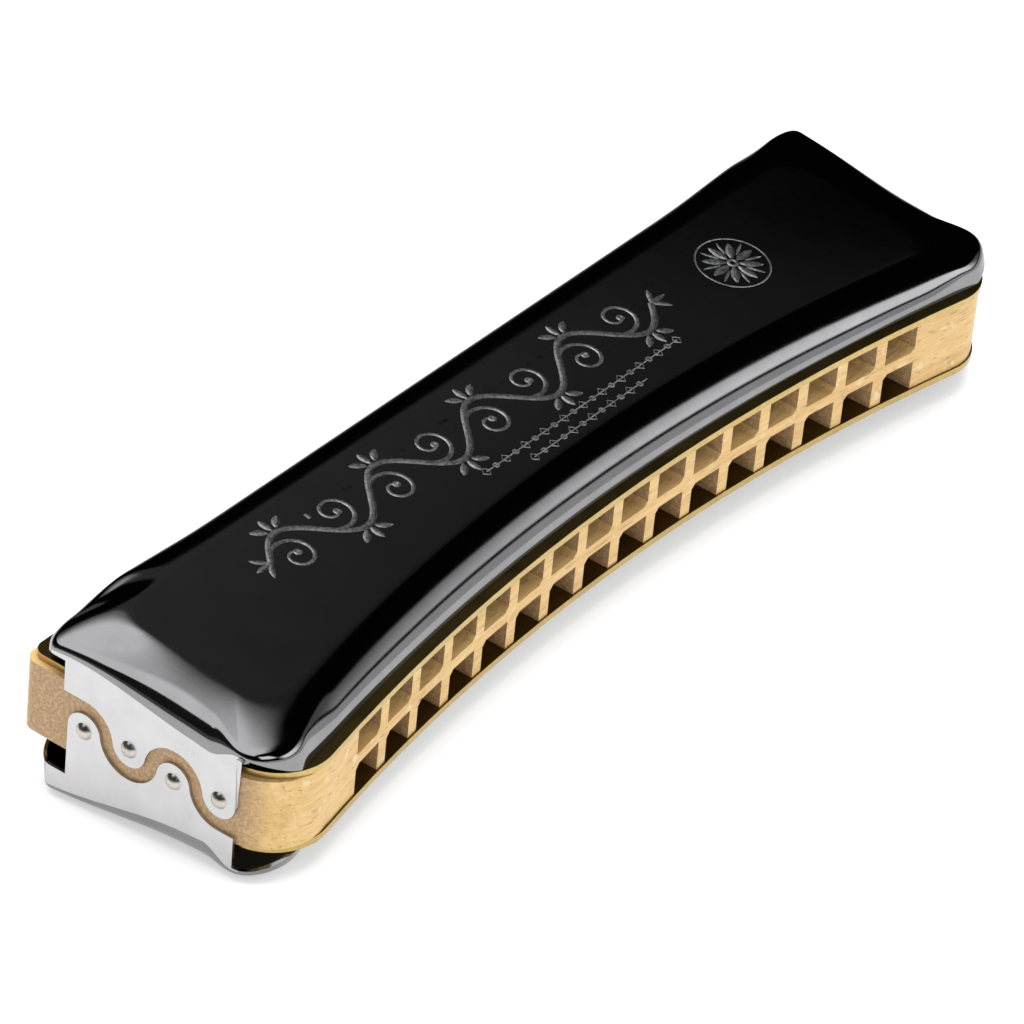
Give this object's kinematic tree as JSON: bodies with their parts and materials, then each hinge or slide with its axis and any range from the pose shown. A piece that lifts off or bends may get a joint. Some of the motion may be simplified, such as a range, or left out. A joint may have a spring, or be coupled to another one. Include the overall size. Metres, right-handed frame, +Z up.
{
  "type": "octave harmonica",
  "caption": "Curved octave harmonica: wooden comb with a concave mouth face, brass reed plates and reeds, and sheet covers with wavy nailed end tabs.",
  "frame": {"origin": "the middle of the lower cover's flat face, on the surface that it rests on", "axes": "+Z up as the instrument rests on its lower cover, +X along it towards the high notes, -Y towards the mouth face"},
  "size_m": [0.1314, 0.0349, 0.0218],
  "materials": {
    "wood": "fine-sanded light hardwood, clear sealed",
    "cover_plating": "bright plated sheet, satin on the end tabs",
    "nail_nickel": "nickelled domed nail",
    "plate_brass": "rolled brass with bright sheared edges",
    "reed_brass": "ground reed brass",
    "rivet_brass": "set brass rivet",
    "pin_brass": "brass pin"
  },
  "bodies": {
    "frame": {"comb": "wood", "top_reed_plate": "plate_brass", "top_blow_reed_heads": "reed_brass", "top_draw_reed_heads": "reed_brass", "top_reed_rivets": "rivet_brass", "top_reed_plate_pins": "pin_brass", "top_cover": "cover_plating", "top_cover_nails": "nail_nickel", "bottom_reed_plate": "plate_brass", "bottom_blow_reed_heads": "reed_brass", "bottom_draw_reed_heads": "reed_brass", "bottom_reed_rivets": "rivet_brass", "bottom_reed_plate_pins": "pin_brass", "bottom_cover": "cover_plating", "bottom_cover_nails": "nail_nickel"},
    "reed_top_01": {"reed_top_01": "reed_brass"},
    "reed_top_02": {"reed_top_02": "reed_brass"},
    "reed_top_03": {"reed_top_03": "reed_brass"},
    "reed_top_04": {"reed_top_04": "reed_brass"},
    "reed_top_05": {"reed_top_05": "reed_brass"},
    "reed_top_06": {"reed_top_06": "reed_brass"},
    "reed_top_07": {"reed_top_07": "reed_brass"},
    "reed_top_08": {"reed_top_08": "reed_brass"},
    "reed_top_09": {"reed_top_09": "reed_brass"},
    "reed_top_10": {"reed_top_10": "reed_brass"},
    "reed_top_11": {"reed_top_11": "reed_brass"},
    "reed_top_12": {"reed_top_12": "reed_brass"},
    "reed_top_13": {"reed_top_13": "reed_brass"},
    "reed_top_14": {"reed_top_14": "reed_brass"},
    "reed_top_15": {"reed_top_15": "reed_brass"},
    "reed_top_16": {"reed_top_16": "reed_brass"},
    "reed_bottom_01": {"reed_bottom_01": "reed_brass"},
    "reed_bottom_02": {"reed_bottom_02": "reed_brass"},
    "reed_bottom_03": {"reed_bottom_03": "reed_brass"},
    "reed_bottom_04": {"reed_bottom_04": "reed_brass"},
    "reed_bottom_05": {"reed_bottom_05": "reed_brass"},
    "reed_bottom_06": {"reed_bottom_06": "reed_brass"},
    "reed_bottom_07": {"reed_bottom_07": "reed_brass"},
    "reed_bottom_08": {"reed_bottom_08": "reed_brass"},
    "reed_bottom_09": {"reed_bottom_09": "reed_brass"},
    "reed_bottom_10": {"reed_bottom_10": "reed_brass"},
    "reed_bottom_11": {"reed_bottom_11": "reed_brass"},
    "reed_bottom_12": {"reed_bottom_12": "reed_brass"},
    "reed_bottom_13": {"reed_bottom_13": "reed_brass"},
    "reed_bottom_14": {"reed_bottom_14": "reed_brass"},
    "reed_bottom_15": {"reed_bottom_15": "reed_brass"},
    "reed_bottom_16": {"reed_bottom_16": "reed_brass"}
  },
  "joints": [
    {"name": "reed_top_01_swing", "type": "hinge", "parent": "frame", "child": "reed_top_01", "pos_m": [-0.04763, 0.00657, 0.01478], "axis": [1, 0, 0], "range_deg": [-3.5, 3.5], "stiffness_Nm_per_rad": 0.0006},
    {"name": "reed_top_02_swing", "type": "hinge", "parent": "frame", "child": "reed_top_02", "pos_m": [-0.04127, -0.00947, 0.0143], "axis": [1, 0, 0], "range_deg": [-3.5, 3.5], "stiffness_Nm_per_rad": 0.0006},
    {"name": "reed_top_03_swing", "type": "hinge", "parent": "frame", "child": "reed_top_03", "pos_m": [-0.03492, 0.00739, 0.01486], "axis": [1, 0, 0], "range_deg": [-3.5, 3.5], "stiffness_Nm_per_rad": 0.0006},
    {"name": "reed_top_04_swing", "type": "hinge", "parent": "frame", "child": "reed_top_04", "pos_m": [-0.02857, -0.00794, 0.01444], "axis": [1, 0, 0], "range_deg": [-3.5, 3.5], "stiffness_Nm_per_rad": 0.0006},
    {"name": "reed_top_05_swing", "type": "hinge", "parent": "frame", "child": "reed_top_05", "pos_m": [-0.02223, 0.00765, 0.01488], "axis": [1, 0, 0], "range_deg": [-3.5, 3.5], "stiffness_Nm_per_rad": 0.0006},
    {"name": "reed_top_06_swing", "type": "hinge", "parent": "frame", "child": "reed_top_06", "pos_m": [-0.01588, -0.00697, 0.01454], "axis": [1, 0, 0], "range_deg": [-3.5, 3.5], "stiffness_Nm_per_rad": 0.0006},
    {"name": "reed_top_07_swing", "type": "hinge", "parent": "frame", "child": "reed_top_07", "pos_m": [-0.00953, 0.00735, 0.01485], "axis": [1, 0, 0], "range_deg": [-3.5, 3.5], "stiffness_Nm_per_rad": 0.0006},
    {"name": "reed_top_08_swing", "type": "hinge", "parent": "frame", "child": "reed_top_08", "pos_m": [-0.00317, -0.00655, 0.01458], "axis": [1, 0, 0], "range_deg": [-3.5, 3.5], "stiffness_Nm_per_rad": 0.0006},
    {"name": "reed_top_09_swing", "type": "hinge", "parent": "frame", "child": "reed_top_09", "pos_m": [0.00317, 0.00649, 0.01477], "axis": [1, 0, 0], "range_deg": [-3.5, 3.5], "stiffness_Nm_per_rad": 0.0006},
    {"name": "reed_top_10_swing", "type": "hinge", "parent": "frame", "child": "reed_top_10", "pos_m": [0.00953, -0.00669, 0.01457], "axis": [1, 0, 0], "range_deg": [-3.5, 3.5], "stiffness_Nm_per_rad": 0.0006},
    {"name": "reed_top_11_swing", "type": "hinge", "parent": "frame", "child": "reed_top_11", "pos_m": [0.01588, 0.00508, 0.01463], "axis": [1, 0, 0], "range_deg": [-3.5, 3.5], "stiffness_Nm_per_rad": 0.0006},
    {"name": "reed_top_12_swing", "type": "hinge", "parent": "frame", "child": "reed_top_12", "pos_m": [0.02223, -0.00738, 0.0145], "axis": [1, 0, 0], "range_deg": [-3.5, 3.5], "stiffness_Nm_per_rad": 0.0006},
    {"name": "reed_top_13_swing", "type": "hinge", "parent": "frame", "child": "reed_top_13", "pos_m": [0.02857, 0.00311, 0.01444], "axis": [1, 0, 0], "range_deg": [-3.5, 3.5], "stiffness_Nm_per_rad": 0.0006},
    {"name": "reed_top_14_swing", "type": "hinge", "parent": "frame", "child": "reed_top_14", "pos_m": [0.03492, -0.00864, 0.01438], "axis": [1, 0, 0], "range_deg": [-3.5, 3.5], "stiffness_Nm_per_rad": 0.0006},
    {"name": "reed_top_15_swing", "type": "hinge", "parent": "frame", "child": "reed_top_15", "pos_m": [0.04127, 0.00058, 0.0142], "axis": [1, 0, 0], "range_deg": [-3.5, 3.5], "stiffness_Nm_per_rad": 0.0006},
    {"name": "reed_top_16_swing", "type": "hinge", "parent": "frame", "child": "reed_top_16", "pos_m": [0.04763, -0.01045, 0.0142], "axis": [1, 0, 0], "range_deg": [-3.5, 3.5], "stiffness_Nm_per_rad": 0.0006},
    {"name": "reed_bottom_01_swing", "type": "hinge", "parent": "frame", "child": "reed_bottom_01", "pos_m": [-0.04763, 0.00738, 0.00636], "axis": [1, 0, 0], "range_deg": [-3.5, 3.5], "stiffness_Nm_per_rad": 0.0006},
    {"name": "reed_bottom_02_swing", "type": "hinge", "parent": "frame", "child": "reed_bottom_02", "pos_m": [-0.04127, -0.00846, 0.00377], "axis": [1, 0, 0], "range_deg": [-3.5, 3.5], "stiffness_Nm_per_rad": 0.0006},
    {"name": "reed_bottom_03_swing", "type": "hinge", "parent": "frame", "child": "reed_bottom_03", "pos_m": [-0.03492, 0.0082, 0.00644], "axis": [1, 0, 0], "range_deg": [-3.5, 3.5], "stiffness_Nm_per_rad": 0.0006},
    {"name": "reed_bottom_04_swing", "type": "hinge", "parent": "frame", "child": "reed_bottom_04", "pos_m": [-0.02857, -0.00693, 0.00391], "axis": [1, 0, 0], "range_deg": [-3.5, 3.5], "stiffness_Nm_per_rad": 0.0006},
    {"name": "reed_bottom_05_swing", "type": "hinge", "parent": "frame", "child": "reed_bottom_05", "pos_m": [-0.02223, 0.00846, 0.00646], "axis": [1, 0, 0], "range_deg": [-3.5, 3.5], "stiffness_Nm_per_rad": 0.0006},
    {"name": "reed_bottom_06_swing", "type": "hinge", "parent": "frame", "child": "reed_bottom_06", "pos_m": [-0.01588, -0.00595, 0.00401], "axis": [1, 0, 0], "range_deg": [-3.5, 3.5], "stiffness_Nm_per_rad": 0.0006},
    {"name": "reed_bottom_07_swing", "type": "hinge", "parent": "frame", "child": "reed_bottom_07", "pos_m": [-0.00953, 0.00816, 0.00643], "axis": [1, 0, 0], "range_deg": [-3.5, 3.5], "stiffness_Nm_per_rad": 0.0006},
    {"name": "reed_bottom_08_swing", "type": "hinge", "parent": "frame", "child": "reed_bottom_08", "pos_m": [-0.00317, -0.00554, 0.00405], "axis": [1, 0, 0], "range_deg": [-3.5, 3.5], "stiffness_Nm_per_rad": 0.0006},
    {"name": "reed_bottom_09_swing", "type": "hinge", "parent": "frame", "child": "reed_bottom_09", "pos_m": [0.00317, 0.0073, 0.00635], "axis": [1, 0, 0], "range_deg": [-3.5, 3.5], "stiffness_Nm_per_rad": 0.0006},
    {"name": "reed_bottom_10_swing", "type": "hinge", "parent": "frame", "child": "reed_bottom_10", "pos_m": [0.00953, -0.00568, 0.00403], "axis": [1, 0, 0], "range_deg": [-3.5, 3.5], "stiffness_Nm_per_rad": 0.0006},
    {"name": "reed_bottom_11_swing", "type": "hinge", "parent": "frame", "child": "reed_bottom_11", "pos_m": [0.01588, 0.00589, 0.00621], "axis": [1, 0, 0], "range_deg": [-3.5, 3.5], "stiffness_Nm_per_rad": 0.0006},
    {"name": "reed_bottom_12_swing", "type": "hinge", "parent": "frame", "child": "reed_bottom_12", "pos_m": [0.02223, -0.00637, 0.00397], "axis": [1, 0, 0], "range_deg": [-3.5, 3.5], "stiffness_Nm_per_rad": 0.0006},
    {"name": "reed_bottom_13_swing", "type": "hinge", "parent": "frame", "child": "reed_bottom_13", "pos_m": [0.02857, 0.00392, 0.00602], "axis": [1, 0, 0], "range_deg": [-3.5, 3.5], "stiffness_Nm_per_rad": 0.0006},
    {"name": "reed_bottom_14_swing", "type": "hinge", "parent": "frame", "child": "reed_bottom_14", "pos_m": [0.03492, -0.00762, 0.00385], "axis": [1, 0, 0], "range_deg": [-3.5, 3.5], "stiffness_Nm_per_rad": 0.0006},
    {"name": "reed_bottom_15_swing", "type": "hinge", "parent": "frame", "child": "reed_bottom_15", "pos_m": [0.04127, 0.00139, 0.00578], "axis": [1, 0, 0], "range_deg": [-3.5, 3.5], "stiffness_Nm_per_rad": 0.0006},
    {"name": "reed_bottom_16_swing", "type": "hinge", "parent": "frame", "child": "reed_bottom_16", "pos_m": [0.04763, -0.00944, 0.00367], "axis": [1, 0, 0], "range_deg": [-3.5, 3.5], "stiffness_Nm_per_rad": 0.0006}
  ]
}
